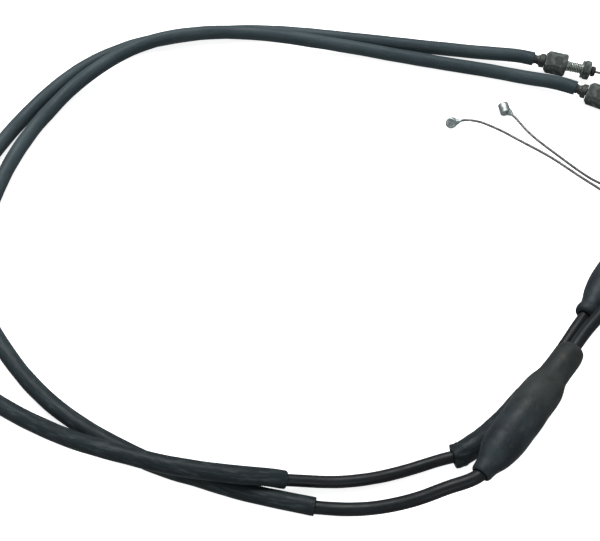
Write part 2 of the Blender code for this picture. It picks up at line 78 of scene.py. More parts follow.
# The cables' centrelines, from the carburettor end to the throttle end, as the CAD source has them.
PULL_SLEEVE_ROUTE = [
    (0.1257, 0.1205, 0.007), (0.1167, 0.123, 0.007), (0.105, 0.1257, 0.0061), (0.0899, 0.1292, 0.0045),
    (0.076, 0.1318, 0.004), (0.058, 0.1345, 0.004), (0.0399, 0.1373, 0.004), (0.0219, 0.14, 0.004),
    (0.0039, 0.1427, 0.004), (-0.014, 0.1451, 0.004), (-0.032, 0.1469, 0.004), (-0.05, 0.1471, 0.004),
    (-0.0629, 0.1466, 0.004), (-0.0759, 0.1454, 0.004), (-0.0879, 0.1432, 0.004), (-0.1009, 0.1398, 0.004),
    (-0.113, 0.1357, 0.004), (-0.1241, 0.13, 0.004), (-0.1347, 0.1235, 0.004), (-0.1452, 0.1144, 0.004),
    (-0.155, 0.1031, 0.004), (-0.1651, 0.0883, 0.004), (-0.1737, 0.0732, 0.004), (-0.1816, 0.0566, 0.004),
    (-0.192, 0.029, 0.004), (-0.198, -0.004, 0.004), (-0.196, -0.038, 0.004), (-0.186, -0.067, 0.004),
    (-0.17, -0.087, 0.004), (-0.1521, -0.0996, 0.0043), (-0.1361, -0.1085, 0.006),
    (-0.1212, -0.1158, 0.0091), (-0.1022, -0.1232, 0.0124), (-0.0901, -0.1265, 0.0127),
    (-0.0791, -0.1292, 0.0127), (-0.0681, -0.1315, 0.0126), (-0.057, -0.1332, 0.0124),
    (-0.049, -0.1342, 0.0121), (-0.04, -0.135, 0.0112), (-0.0291, -0.1351, 0.0088),
    (-0.0203, -0.1354, 0.0058),
]
RETURN_SLEEVE_ROUTE = [
    (0.1466, 0.0964, 0.007), (0.1376, 0.1005, 0.007), (0.1267, 0.1043, 0.0061), (0.116, 0.1084, 0.0047),
    (0.1051, 0.1119, 0.0041), (0.093, 0.115, 0.004), (0.076, 0.119, 0.004), (0.058, 0.1232, 0.004),
    (0.04, 0.1271, 0.0046), (0.022, 0.1307, 0.0056), (0.004, 0.1337, 0.0068), (-0.014, 0.1364, 0.008),
    (-0.032, 0.1387, 0.009), (-0.05, 0.1398, 0.0098), (-0.0629, 0.1401, 0.01), (-0.0759, 0.1389, 0.0101),
    (-0.0879, 0.137, 0.0101), (-0.0998, 0.1335, 0.01), (-0.1107, 0.1284, 0.0097),
    (-0.1217, 0.1217, 0.0089), (-0.1326, 0.1128, 0.0079), (-0.143, 0.1023, 0.0067),
    (-0.153, 0.0887, 0.0055), (-0.162, 0.0734, 0.0046), (-0.17, 0.055, 0.0041), (-0.176, 0.033, 0.004),
    (-0.18, 0.004, 0.004), (-0.179, -0.024, 0.004), (-0.171, -0.048, 0.004), (-0.158, -0.068, 0.004),
    (-0.146, -0.0825, 0.004), (-0.1349, -0.0936, 0.004), (-0.1238, -0.1027, 0.004),
    (-0.1136, -0.1095, 0.004), (-0.1035, -0.1156, 0.004), (-0.0915, -0.1216, 0.004),
    (-0.0796, -0.1272, 0.004), (-0.0687, -0.1311, 0.004), (-0.0577, -0.1343, 0.004),
    (-0.0439, -0.1385, 0.004), (-0.0309, -0.1418, 0.004), (-0.018, -0.1445, 0.004),
    (-0.0075, -0.1466, 0.004),
]
PULL_CASING_ROUTE = [
    (-0.0198, -0.1354, 0.0056), (-0.008, -0.1355, 0.004), (0.003, -0.1354, 0.003), (0.016, -0.134, 0.0027),
    (0.03, -0.131, 0.0027), (0.042, -0.1276, 0.0035), (0.05, -0.1256, 0.0049), (0.0561, -0.1241, 0.0055),
    (0.0621, -0.1208, 0.0056), (0.069, -0.116, 0.0056), (0.077, -0.1092, 0.0054),
    (0.0835, -0.1022, 0.0052), (0.0902, -0.0948, 0.0052), (0.0975, -0.0871, 0.0054),
    (0.1039, -0.08, 0.0063), (0.1108, -0.0718, 0.0081),
]
RETURN_CASING_ROUTE = [
    (-0.0072, -0.1469, 0.004), (0.003, -0.1479, 0.0049), (0.014, -0.1484, 0.0073),
    (0.026, -0.1477, 0.0109), (0.038, -0.1455, 0.0147), (0.05, -0.1419, 0.0179),
]
RETURN_UPPER_CASING_ROUTE = [
    (0.127, -0.0608, 0.0193), (0.138, -0.0488, 0.0198), (0.149, -0.0368, 0.0201),
]
PULL_WIRE_ROUTE = [
    (0.1462, 0.025, 0.0094), (0.1371, 0.0332, 0.009), (0.1284, 0.044, 0.0081), (0.1217, 0.0528, 0.0072),
    (0.1156, 0.062, 0.0061), (0.1111, 0.0716, 0.0049), (0.109, 0.0766, 0.0042), (0.1069, 0.0803, 0.0036),
]
RETURN_WIRE_ROUTE = [
    (0.1408, 0.0129, 0.0198), (0.1347, 0.0199, 0.0187), (0.1286, 0.0277, 0.0172), (0.121, 0.0373, 0.0154),
    (0.1144, 0.0444, 0.0139), (0.1048, 0.054, 0.0119), (0.0984, 0.0603, 0.0107), (0.0916, 0.0656, 0.0098),
    (0.0872, 0.0684, 0.0093), (0.084, 0.0697, 0.0089), (0.0813, 0.0707, 0.0083), (0.0787, 0.0714, 0.0074),
    (0.077, 0.0717, 0.0066), (0.0755, 0.0719, 0.0058),
]


def millimetres(*pairs):
    """Pairs of (distance, radius) written in millimetres."""
    return [(distance * MM, radius * MM) for distance, radius in pairs]


# The boots' outlines, from the lip to the neck's end.
BOOT_NECK = millimetres((58, 6.7), (72, 6.5), (75, 5.8), (76.3, 4.4))
PULL_BOOT_OUTSIDE = millimetres(
    (-0.3, 4.0), (0.5, 5.1), (2, 5.5), (3.5, 5.4), (5.5, 5.0), (8, 5.4), (11, 6.4), (14, 7.3), (18, 8.1),
    (23, 8.6), (32, 8.9), (50, 9.0), (53, 8.6), (55.5, 7.6),
) + BOOT_NECK
PULL_BOOT_INSIDE = millimetres(
    (-0.3, 3.1), (6.5, 3.1), (11, 5.2), (14, 6.1), (23, 7.4), (50, 7.7), (54, 6.9), (57.5, 3.6), (76.3, 3.6),
)
RETURN_BOOT_OUTSIDE = millimetres(
    (-1, 4.0), (0, 4.5), (2.5, 4.8), (4.5, 5.2), (8, 6.6), (11, 7.6), (15, 8.4), (20, 8.8), (30, 9.0),
    (46, 9.0), (50, 8.7), (53, 8.0), (55.5, 7.2),
) + BOOT_NECK
RETURN_BOOT_INSIDE = millimetres(
    (-1, 3.35), (5, 3.35), (9, 5.4), (14, 6.9), (20, 7.5), (46, 7.7), (50, 7.4), (54, 6.2), (57.5, 3.5),
    (76.3, 3.5),
)


def unit(vector):
    vector = np.array(vector, dtype=float)
    return vector / np.linalg.norm(vector)


def smooth_route(points, step):
    """Points about a step apart along the natural cubic spline through the given points."""
    knots = np.array([tuple(point) for point in points], dtype=float)
    chords = np.linalg.norm(np.diff(knots, axis=0), axis=1)
    reached = np.concatenate(([0.0], np.cumsum(chords)))
    count = len(knots)
    matrix = np.eye(count)
    right = np.zeros((count, 3))
    for i in range(1, count - 1):
        before, after = chords[i - 1], chords[i]
        matrix[i, i - 1:i + 2] = before, 2 * (before + after), after
        right[i] = 6 * ((knots[i + 1] - knots[i]) / after - (knots[i] - knots[i - 1]) / before)
    curving = np.linalg.solve(matrix, right)

    route = []
    for distance in np.linspace(0, reached[-1], max(2, round(reached[-1] / step)) + 1):
        i = min(int(np.searchsorted(reached, distance, side="right")) - 1, count - 2)
        length = chords[i]
        ahead = reached[i + 1] - distance
        behind = distance - reached[i]
        point = (curving[i] * ahead ** 3 + curving[i + 1] * behind ** 3) / (6 * length)
        point += (knots[i] / length - curving[i] * length / 6) * ahead
        point += (knots[i + 1] / length - curving[i + 1] * length / 6) * behind
        route.append(point)
    return np.array(route)


class Path:
    """A centreline, measured by the distance along it, with two directions across it at every point.

    The first direction across starts level, and the second as nearly up as it can be. Past either end
    the path runs straight on.
    """

    def __init__(self, points):
        self.points = np.array(points, dtype=float)
        steps = np.linalg.norm(np.diff(self.points, axis=0), axis=1)
        self.reached = np.concatenate(([0.0], np.cumsum(steps)))
        self.length = self.reached[-1]
        self.tangents = np.array([unit(row) for row in np.gradient(self.points, axis=0)])
        level = np.cross(UP, self.tangents[0])
        level = unit(level) if np.linalg.norm(level) > 1e-3 else np.array((1.0, 0.0, 0.0))
        across = []
        for tangent in self.tangents:
            level = unit(level - tangent * level.dot(tangent))
            across.append(level)
        self.across = np.array(across)

    def between(self, rows, distance):
        return np.array([np.interp(distance, self.reached, rows[:, axis]) for axis in range(3)])

    def place(self, distance):
        """The centre at a distance, and the two directions across."""
        tangent = unit(self.between(self.tangents, distance))
        across = unit(self.between(self.across, distance))
        past = distance - min(max(distance, 0), self.length)
        centre = self.between(self.points, distance) + tangent * past
        return centre, across, np.cross(tangent, across)


class Axis(Path):
    """A straight axis that fittings sit on."""

    def __init__(self, start, direction):
        self.start = np.array(start, dtype=float)
        self.direction = unit(direction)
        super().__init__([self.start, self.start + self.direction * 100 * MM])

    def at(self, distance):
        return self.start + self.direction * distance


JOINTS = {joint["name"]: joint for joint in frame["joints"]}
MOUNTS = {mount["name"]: mount for mount in frame["record"]["mounts"]}
BODY_OF = {node: body for body, nodes in frame["record"]["behaviour"]["bodies"].items() for node in nodes}
SLOT_OF = {part["node"]: part["material_slot"] for part in frame["record"]["subparts"]}


def hinge_axis(name):
    return Axis(JOINTS[name]["pos_m"], JOINTS[name]["axis"])


def span(node, axis):
    """Where a CAD node starts and ends along an axis, and the farthest it reaches from it."""
    points = np.array([tuple(vertex.co) for vertex in frame["nodes"][node].data.vertices])
    along = (points - axis.start) @ axis.direction
    away = np.linalg.norm(points - axis.start - np.outer(along, axis.direction), axis=1)
    return along.min(), along.max(), away.max()


def even_angles(count):
    return np.arange(count) * math.tau / count


def hexagon_angles():
    """Angles close together at a hexagon's corners, so that they are rounded and its flats are flat."""
    beside_corner = np.radians((-24, -17, -11, -7, -4.2, -2.4, -1.1, 0, 1.1, 2.4, 4.2, 7, 11, 17, 24))
    corners = np.radians(np.arange(30, 390, 60))
    return np.sort(np.concatenate([corner + beside_corner for corner in corners]))


def rounded(outline, size):
    """The outline with each of its corners, apart from the two ends, rounded off."""
    points = [np.array(point) for point in outline]
    soft = [points[0]]
    for before, corner, after in zip(points, points[1:], points[2:]):
        reach = min(size, np.linalg.norm(before - corner) * 0.45, np.linalg.norm(after - corner) * 0.45)
        start = corner + unit(before - corner) * reach
        end = corner + unit(after - corner) * reach
        for share in (0, 0.25, 0.5, 0.75, 1):
            soft.append(start * (1 - share) ** 2 + corner * 2 * share * (1 - share) + end * share ** 2)
    soft.append(points[-1])
    return soft


def refined(outline, longest):
    """The outline with points added so that no stretch of it is longer than that."""
    fine = [np.array(outline[0])]
    for start, end in zip(outline, outline[1:]):
        parts = max(1, math.ceil(np.linalg.norm(np.subtract(end, start)) / longest))
        for i in range(1, parts + 1):
            fine.append(np.array(start) + np.subtract(end, start) * i / parts)
    return fine


def hexagon(across_flats):
    """A shape that keeps a turned outline inside a hexagonal bar with slightly rounded corners."""
    sharpness = 90

    def shape(distance, angle, radius):
        flats = sum(np.abs(np.cos(angle - math.radians(turn))) ** sharpness for turn in (0, 60, 120))
        bar = across_flats / 2 / flats ** (1 / sharpness)
        return (np.maximum(radius, 1e-9) ** -sharpness + bar ** -sharpness) ** (-1 / sharpness)

    return shape


def screw_thread(start, end, depth):
    """A shape that cuts a thread into the outside of an outline between two distances."""

    def shape(distance, angle, radius):
        crest = 0.5 + 0.5 * np.cos(math.tau * (distance / THREAD_PITCH) - angle)
        inside = np.clip(np.minimum(distance - start, end - distance) / THREAD_PITCH, 0, 1)
        outer = radius > depth * 4
        return radius - depth * (1 - crest ** 0.7) * inside * outer

    return shape


def lumps(height, size, seed):
    """A shape that makes a round surface slightly uneven, in lumps of about that size."""

    def shape(distance, angle, radius):
        uneven = np.zeros(radius.shape)
        for i in range(radius.shape[0]):
            for j in range(radius.shape[1]):
                spot = (
                    math.cos(angle[i, j]) * radius[i, j] / size,
                    math.sin(angle[i, j]) * radius[i, j] / size + seed,
                    distance[i, j] / size,
                )
                uneven[i, j] = noise.noise(spot)
        return radius + height * uneven

    return shape


def surface(path, outline, angles, shapes=()):
    """One closed surface: its points, its faces, and for each point its place on the straightened piece.

    An outline runs up the outside. It either starts and ends on the centreline or comes back down a
    bore to where it started.
    """
    outline = np.array(outline, dtype=float)
    closed_ring = outline[0][1] > 0
    if closed_ring:
        outline = outline[:-1]
    rows, columns = len(outline), len(angles)
    distance = np.repeat(outline[:, :1], columns, axis=1)
    angle = np.repeat(angles[None, :], rows, axis=0)
    radius = np.repeat(outline[:, 1:], columns, axis=1)
    on_axis = radius <= 0
    for shape in shapes:
        radius = shape(distance, angle, radius)
    radius[on_axis] = 0

    points, skin, first = [], [], []
    for i in range(rows):
        centre, across, up = path.place(outline[i][0])
        first.append(len(points))
        if on_axis[i, 0]:
            points.append(centre)
            skin.append((0, 0, outline[i][0]))
            continue
        for j in range(columns):
            side = math.cos(angles[j]) * radius[i, j]
            lift = math.sin(angles[j]) * radius[i, j]
            points.append(centre + across * side + up * lift)
            skin.append((side, lift, outline[i][0]))

    faces = []
    for i in range(rows if closed_ring else rows - 1):
        here, there = i, (i + 1) % rows
        for j in range(columns):
            following = (j + 1) % columns
            a, b = first[here] + j, first[here] + following
            c, d = first[there] + following, first[there] + j
            if on_axis[here, 0]:
                faces.append((first[here], c, d))
            elif on_axis[there, 0]:
                faces.append((a, b, first[there]))
            else:
                faces.append((a, b, c, d))
    return points, faces, skin


def piece(name, node, surfaces, material):
    """One object made of closed surfaces. It stands for a CAD node and rides on that node's body."""
    points, faces, skin = [], [], []
    for more_points, more_faces, more_skin in surfaces:
        offset = len(points)
        points += [tuple(point) for point in more_points]
        skin += more_skin
        faces += [tuple(corner + offset for corner in face) for face in more_faces]
    mesh = bpy.data.meshes.new(name)
    mesh.from_pydata(points, [], faces)
    attribute = mesh.attributes.new("skin", "FLOAT_VECTOR", "POINT")
    attribute.data.foreach_set("vector", np.array(skin, dtype=np.float32).ravel())
    mesh.materials.append(material)
    mesh.shade_smooth()
    mesh.set_sharp_from_angle(angle=SHARP_EDGE)
    thing = bpy.data.objects.new(name, mesh)
    bpy.context.scene.collection.objects.link(thing)
    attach(thing, BODY_OF[node])
    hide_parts(node)
    return thing


class Paint:
    """The nodes of one material. Each method adds nodes and returns the socket with their result.

    A made piece carries its straightened place on its points. A CAD node that is still shown doesn't,
    so its material reads the place in space.
    """

    def __init__(self, name, on_cad=False):
        self.material = bpy.data.materials.new(name)
        self.material.use_nodes = True
        tree = self.material.node_tree
        self.nodes = tree.nodes
        self.links = tree.links
        self.shader = tree.nodes["Principled BSDF"]
        if on_cad:
            self.skin = self.nodes.new("ShaderNodeTexCoord").outputs["Object"]
        else:
            attribute = self.nodes.new("ShaderNodeAttribute")
            attribute.attribute_name = "skin"
            self.skin = attribute.outputs["Vector"]

    def put(self, socket, value):
        """Link a socket's value, or set a number or a colour."""
        if isinstance(value, bpy.types.NodeSocket):
            self.links.new(value, socket)
        elif isinstance(value, tuple):
            socket.default_value = (*value, 1)
        else:
            socket.default_value = value

    def set(self, name, value):
        self.put(self.shader.inputs[name], value)

    def noise(self, size, along=1.0, detail=3.0, roughness=0.5):
        """Noise with features of about that size, drawn out along the piece where along is over 1."""
        scaled = self.nodes.new("ShaderNodeMapping")
        scaled.inputs["Scale"].default_value = (1, 1, 1 / along)
        self.links.new(self.skin, scaled.inputs["Vector"])
        texture = self.nodes.new("ShaderNodeTexNoise")
        texture.inputs["Scale"].default_value = 1 / size
        texture.inputs["Detail"].default_value = detail
        texture.inputs["Roughness"].default_value = roughness
        self.links.new(scaled.outputs["Vector"], texture.inputs["Vector"])
        return texture.outputs["Fac"]

    def between(self, value, low, high, at_low=0.0, at_high=1.0):
        """A smooth step from one number to another as the value goes from low to high."""
        ramp = self.nodes.new("ShaderNodeMapRange")
        ramp.interpolation_type = "SMOOTHSTEP"
        self.put(ramp.inputs["Value"], value)
        for socket, number in zip(("From Min", "From Max", "To Min", "To Max"), (low, high, at_low, at_high)):
            ramp.inputs[socket].default_value = number
        return ramp.outputs["Result"]

    def calculate(self, operation, first, second=0.0):
        node = self.nodes.new("ShaderNodeMath")
        node.operation = operation
        self.put(node.inputs[0], first)
        self.put(node.inputs[1], second)
        return node.outputs["Value"]

    def mix(self, share, first, second):
        node = self.nodes.new("ShaderNodeMix")
        node.data_type = "RGBA"
        self.put(node.inputs["Factor"], share)
        self.put(node.inputs["A"], first)
        self.put(node.inputs["B"], second)
        return node.outputs["Result"]

    def edges(self):
        """High on the piece's outer edges, where handling wears it."""
        geometry = self.nodes.new("ShaderNodeNewGeometry")
        return self.between(geometry.outputs["Pointiness"], 0.515, 0.56)

    def corners(self, reach):
        """High in its inner corners, where shade falls; the materials use it as painted shade."""
        shut_in = self.nodes.new("ShaderNodeAmbientOcclusion")
        shut_in.samples = 8
        shut_in.inputs["Distance"].default_value = reach
        return self.between(shut_in.outputs["AO"], 0.35, 0.85, 1.0, 0.0)

    def skin_parts(self):
        parts = self.nodes.new("ShaderNodeSeparateXYZ")
        self.links.new(self.skin, parts.inputs["Vector"])
        return parts

    def along(self):
        """The distance along the piece."""
        return self.skin_parts().outputs["Z"]

    def from_axis(self):
        """The distance from the piece's own axis."""
        parts = self.skin_parts()
        sides = [parts.outputs["X"], parts.outputs["Y"]]
        squares = [self.calculate("MULTIPLY", side, side) for side in sides]
        return self.calculate("SQRT", self.calculate("ADD", *squares))

    def spiral(self, pitch):
        """A wave that winds round the piece once for each pitch."""
        parts = self.skin_parts()
        turn = self.calculate("ARCTAN2", parts.outputs["Y"], parts.outputs["X"])
        along = self.calculate("MULTIPLY", parts.outputs["Z"], math.tau / pitch)
        return self.calculate("SINE", self.calculate("ADD", turn, along))

    def bump(self, *layers):
        """Bumps of several heights, each a pair of (height texture, how far it stands out)."""
        normal = None
        for height, distance in layers:
            node = self.nodes.new("ShaderNodeBump")
            node.inputs["Strength"].default_value = 1.0
            node.inputs["Distance"].default_value = distance
            self.put(node.inputs["Height"], height)
            if normal:
                self.links.new(normal, node.inputs["Normal"])
            normal = node.outputs["Normal"]
        self.links.new(normal, self.shader.inputs["Normal"])


def sleeve_plastic(name, darker_from):
    """Blue-grey charcoal vinyl with dust and fine scratches along it, darker past a distance along it."""
    darkening_fades_in_over = 130 * MM
    paint = Paint(name)
    cloud = paint.between(paint.noise(14 * MM, 3), 0.35, 0.65)
    tone = paint.mix(cloud, (0.035, 0.051, 0.058), (0.05, 0.07, 0.077))
    # Darker from a distance along the piece on.
    darker_along = paint.between(paint.along(), darker_from, darker_from + darkening_fades_in_over)
    darkened_tone = paint.mix(paint.calculate("MULTIPLY", darker_along, 0.75), tone, (0.0085, 0.0105, 0.0115))
    dust = paint.calculate("MULTIPLY", paint.between(paint.noise(1.2 * MM, 5), 0.48, 0.75), 0.4)
    dusty = paint.mix(dust, darkened_tone, (0.075, 0.095, 0.1))
    scratch = paint.calculate("MULTIPLY", paint.between(paint.noise(0.25 * MM, 30), 0.64, 0.76), 0.35)
    paint.set("Base Color", paint.mix(scratch, dusty, (0.1, 0.12, 0.125)))
    paint.set("Roughness", paint.between(paint.noise(3 * MM, 4), 0.3, 0.7, 0.36, 0.52))
    paint.set("Specular IOR Level", 0.09)
    grain = (paint.noise(0.35 * MM, 2), 0.02 * MM)
    paint.bump((paint.noise(9 * MM, 3), 0.3 * MM), grain, (scratch, 0.02 * MM))
    return paint.material


def casing_plastic():
    """Smooth black plastic over a wound steel casing, whose turns show faintly."""
    paint = Paint("casing_plastic_worn")
    cloud = paint.between(paint.noise(8 * MM, 3), 0.35, 0.65)
    tone = paint.mix(cloud, (0.0055, 0.0078, 0.0095), (0.0105, 0.0137, 0.016))
    dust = paint.calculate("MULTIPLY", paint.between(paint.noise(0.9 * MM, 5), 0.55, 0.8), 0.3)
    dusty = paint.mix(dust, tone, (0.04, 0.046, 0.05))
    scratch = paint.calculate("MULTIPLY", paint.between(paint.noise(0.2 * MM, 40), 0.63, 0.74), 0.3)
    paint.set("Base Color", paint.mix(scratch, dusty, (0.07, 0.08, 0.085)))
    paint.set("Roughness", paint.between(paint.noise(3 * MM, 3), 0.3, 0.7, 0.34, 0.5))
    paint.set("Specular IOR Level", 0.22)
    windings = (paint.spiral(1.3 * MM), 0.006 * MM)
    paint.bump(windings, (paint.noise(6 * MM, 3), 0.15 * MM), (paint.noise(0.3 * MM, 2), 0.015 * MM))
    return paint.material


def boot_rubber():
    """Matt dark rubber, browner towards its neck, with brownish worn spots, dust and a fine grain."""
    paint = Paint("boot_rubber_worn")
    cloud = paint.between(paint.noise(9 * MM, 1.5), 0.35, 0.65)
    new = paint.mix(cloud, (0.0115, 0.0168, 0.0203), (0.023, 0.0325, 0.0375))
    aged = paint.mix(cloud, (0.02, 0.0225, 0.0205), (0.034, 0.038, 0.0345))
    tone = paint.mix(paint.between(paint.along(), 18 * MM, 52 * MM, 0.0, 0.8), new, aged)
    brown = paint.calculate("MULTIPLY", paint.between(paint.noise(7 * MM, 1, 4), 0.6, 0.74), 0.4)
    stained = paint.mix(brown, tone, (0.05, 0.05, 0.041))
    dust = paint.calculate("MULTIPLY", paint.between(paint.noise(0.8 * MM, 1.5, 5), 0.5, 0.8), 0.3)
    dusty = paint.mix(dust, stained, (0.055, 0.062, 0.063))
    rubbed = paint.calculate("MULTIPLY", paint.edges(), 0.3)
    paint.set("Base Color", paint.mix(rubbed, dusty, (0.07, 0.08, 0.083)))
    paint.set("Roughness", paint.between(paint.noise(5 * MM), 0.3, 0.7, 0.42, 0.58))
    paint.set("Specular IOR Level", 0.2)
    paint.bump((paint.noise(5 * MM), 0.25 * MM), (paint.noise(0.45 * MM, 1, 5), 0.05 * MM))
    return paint.material


def cap_rubber():
    """Plain black rubber with a dusty grain."""
    paint = Paint("cap_rubber_worn")
    dust = paint.between(paint.noise(0.5 * MM, 1, 5), 0.5, 0.8)
    tone = paint.mix(dust, (0.008, 0.008, 0.009), (0.035, 0.036, 0.034))
    paint.set("Base Color", paint.mix(paint.edges(), tone, (0.05, 0.052, 0.05)))
    paint.set("Roughness", paint.between(paint.noise(1.5 * MM), 0.3, 0.7, 0.5, 0.7))
    paint.bump((paint.noise(0.3 * MM, 1, 5), 0.03 * MM))
    return paint.material


def metal(name, bright, dull, grime_and_shade_tone, rust, rust_share, roughness, on_cad=False, dirty_beyond=None):
    """Plated metal: bright where it is rubbed, dull over the rest, grime in patches, painted shade in its inner
    corners and a little rust.

    With dirty_beyond given, the metal that is farther than that from the piece's own axis is dirtier.
    """
    paint = Paint(name, on_cad)
    tone = paint.mix(paint.between(paint.noise(2.5 * MM, 1, 5), 0.35, 0.65), dull, bright)
    rubbed = paint.calculate("MULTIPLY", paint.edges(), 0.6)
    shiny = paint.mix(rubbed, tone, tuple(min(1.0, channel * 1.6) for channel in bright))
    cloud = paint.between(paint.noise(1.3 * MM, 1, 6, 0.65), 0.47, 0.66)
    # The inner corners take the grime tone as painted shade, and the noise patches take it as real grime.
    grime_rust_and_shade = paint.calculate("MAXIMUM", paint.corners(1.2 * MM), paint.calculate("MULTIPLY", cloud, 0.75))
    if dirty_beyond:
        film = paint.between(paint.from_axis(), dirty_beyond, dirty_beyond + 0.8 * MM, 0.0, 0.93)
        patches = paint.between(paint.noise(3 * MM, 1, 5), 0.32, 0.6, 0.78, 1.0)
        film = paint.calculate("MULTIPLY", film, patches)
        clean_edge = paint.calculate("SUBTRACT", 1.0, rubbed)
        grime_rust_and_shade = paint.calculate("MAXIMUM", grime_rust_and_shade, paint.calculate("MULTIPLY", film, clean_edge))
    rust_spots = paint.noise(2.2 * MM, 1, 6, 0.6)
    rusty = paint.between(rust_spots, 0.7 - 0.25 * rust_share, 0.78 - 0.2 * rust_share)
    grime_rust_and_shade_tone = paint.mix(rusty, grime_and_shade_tone, rust)
    grime_rust_and_shade = paint.calculate("MAXIMUM", grime_rust_and_shade, rusty)
    paint.set("Base Color", paint.mix(grime_rust_and_shade, shiny, grime_rust_and_shade_tone))
    paint.set("Metallic", paint.between(grime_rust_and_shade, 0.25, 0.8, 1.0, 0.1))
    paint.set("Roughness", paint.between(grime_rust_and_shade, 0.0, 1.0, roughness, 0.7))
    paint.set("Specular IOR Level", 0.22)
    pits = (paint.noise(0.8 * MM, 1, 5), 0.05 * MM)
    grain = (paint.noise(0.12 * MM, 6, 4), 0.01 * MM)
    paint.bump(pits, grain, (grime_rust_and_shade, 0.02 * MM))
    return paint.material


def plated_steel(on_cad=False):
    """Green-grey zinc plate. Hexagons carry more grime than the thread between them."""
    name = "plated_steel_cad" if on_cad else "plated_steel_worn"
    bright, dull = (0.54, 0.59, 0.54), (0.32, 0.36, 0.33)
    # This grime tone also fills the inner corners as painted shade.
    grime_and_shade_tone, rust = (0.015, 0.021, 0.0205), (0.06, 0.038, 0.024)
    dirty_beyond = None if on_cad else 4 * MM
    return metal(name, bright, dull, grime_and_shade_tone, rust, 0.1, 0.38, on_cad, dirty_beyond)


def ferrule_steel(on_cad=False):
    """Dull green-grey crimped steel."""
    name = "ferrule_steel_cad" if on_cad else "ferrule_steel_worn"
    bright, dull = (0.115, 0.124, 0.114), (0.06, 0.066, 0.061)
    # This grime tone also fills the inner corners as painted shade.
    grime_and_shade_tone, rust = (0.026, 0.03, 0.028), (0.038, 0.033, 0.028)
    return metal(name, bright, dull, grime_and_shade_tone, rust, 0.35, 0.6, on_cad)


def nipple_zinc():
    """Zinc, rather bright, with painted shade in its inner corners and darker grime in patches."""
    bright, dull = (0.52, 0.59, 0.58), (0.31, 0.36, 0.355)
    # This grime tone also fills the inner corners as painted shade.
    grime_and_shade_tone, rust = (0.045, 0.055, 0.054), (0.1, 0.09, 0.065)
    return metal("nipple_zinc_worn", bright, dull, grime_and_shade_tone, rust, 0.0, 0.46)


def wire_steel():
    """Drawn steel strands, darkened between them by painted shade."""
    paint = Paint("wire_steel_worn")
    cloud = paint.between(paint.noise(1.5 * MM, 2, 4), 0.35, 0.65)
    tone = paint.mix(cloud, (0.2, 0.2, 0.195), (0.38, 0.38, 0.37))
    # Painted shade: the base colour darkens where the strands close in on each other.
    dark = paint.calculate("MULTIPLY", paint.corners(0.3 * MM), 0.7)
    paint.set("Base Color", paint.mix(dark, tone, (0.04, 0.04, 0.038)))
    paint.set("Metallic", 0.9)
    paint.set("Roughness", paint.between(paint.noise(1 * MM), 0.3, 0.7, 0.3, 0.5))
    paint.bump((paint.noise(0.1 * MM, 8, 4), 0.006 * MM))
    return paint.material


# The sleeves are darker from 430 mm along them, and all of the protector, which comes after them, is darker.
MATERIALS = {
    "sleeve_plastic": sleeve_plastic("sleeve_plastic_worn", 430 * MM),
    "protector_plastic": sleeve_plastic("protector_plastic_worn", -130 * MM),
    "casing_plastic": casing_plastic(),
    "boot_rubber": boot_rubber(),
    "cap_rubber": cap_rubber(),
    "plated_steel": plated_steel(),
    "ferrule_steel": ferrule_steel(),
    "nipple_zinc": nipple_zinc(),
    "wire_steel": wire_steel(),
}
CAD_MATERIALS = {"plated_steel": plated_steel(on_cad=True), "ferrule_steel": ferrule_steel(on_cad=True)}

PULL_CARB = hinge_axis("pull_adjuster_swivel")
RETURN_CARB = hinge_axis("return_adjuster_swivel")
PULL_BOOT = hinge_axis("pull_inline_nut_turn")
RETURN_BOOT = hinge_axis("return_inline_nut_turn")
PULL_LEG = hinge_axis("pull_elbow_nut_turn")
RETURN_LEG = hinge_axis("return_elbow_nut_turn")
PULL_FOOT = Axis(PULL_LEG.start, PULL_BOOT.direction)
RETURN_FOOT_TURN = math.radians(47.5)
RETURN_FOOT = Axis(RETURN_LEG.start, (math.cos(RETURN_FOOT_TURN), math.sin(RETURN_FOOT_TURN), 0))

# Each elbow's pipe starts in its boot or ferrule, and its union nut sits partway along the leg.
PULL_LEG_LENGTH = 27 * MM
PULL_ELBOW_NUT = 12 * MM
PULL_PIPE_IN_BOOT = 46.3 * MM
RETURN_LEG_LENGTH = 36.5 * MM
RETURN_ELBOW_NUT = 20 * MM
RETURN_PIPE_START = -12.3 * MM
COLLAR_BEYOND_NUT_START = 12 * MM
COLLAR_LENGTH = 1.4 * MM

# The routes run straight along the boots' and the elbow's own axes where they go into them.
INTO_PULL_BOOT = [PULL_BOOT.at(distance * MM) for distance in (-8, -4, 0, 4, 14)]
INTO_RETURN_BOOT = [RETURN_BOOT.at(distance * MM) for distance in (0, 6, 18)]
OUT_OF_RETURN_BOOT = [RETURN_BOOT.at(distance * MM) for distance in (52.1, 64, 76, 88)]
INTO_RETURN_ELBOW = [RETURN_FOOT.at(distance * MM) for distance in (-19.6, -12.6)]
ROUTE_STEP = 1 * MM


def camera():
    """The photograph's viewing angle: from 58 degrees above the surface, square on to the pair."""
    picture_width = 600
    focal_length_in_pixels = 833
    elevation = math.radians(58)
    distance = 427.2 * MM
    looks_at = Vector((-14 * MM, -24 * MM, -0.3 * MM))
    back = Vector((0, -math.cos(elevation), math.sin(elevation)))
    data = bpy.data.cameras.new("camera")
    data.sensor_width = 36
    data.lens = data.sensor_width * focal_length_in_pixels / picture_width
    data.clip_start = 0.01
    thing = bpy.data.objects.new("camera", data)
    thing.location = looks_at + back * distance
    thing.rotation_euler = (-back).to_track_quat("-Z", "Y").to_euler()
    bpy.context.scene.collection.objects.link(thing)
    bpy.context.scene.camera = thing


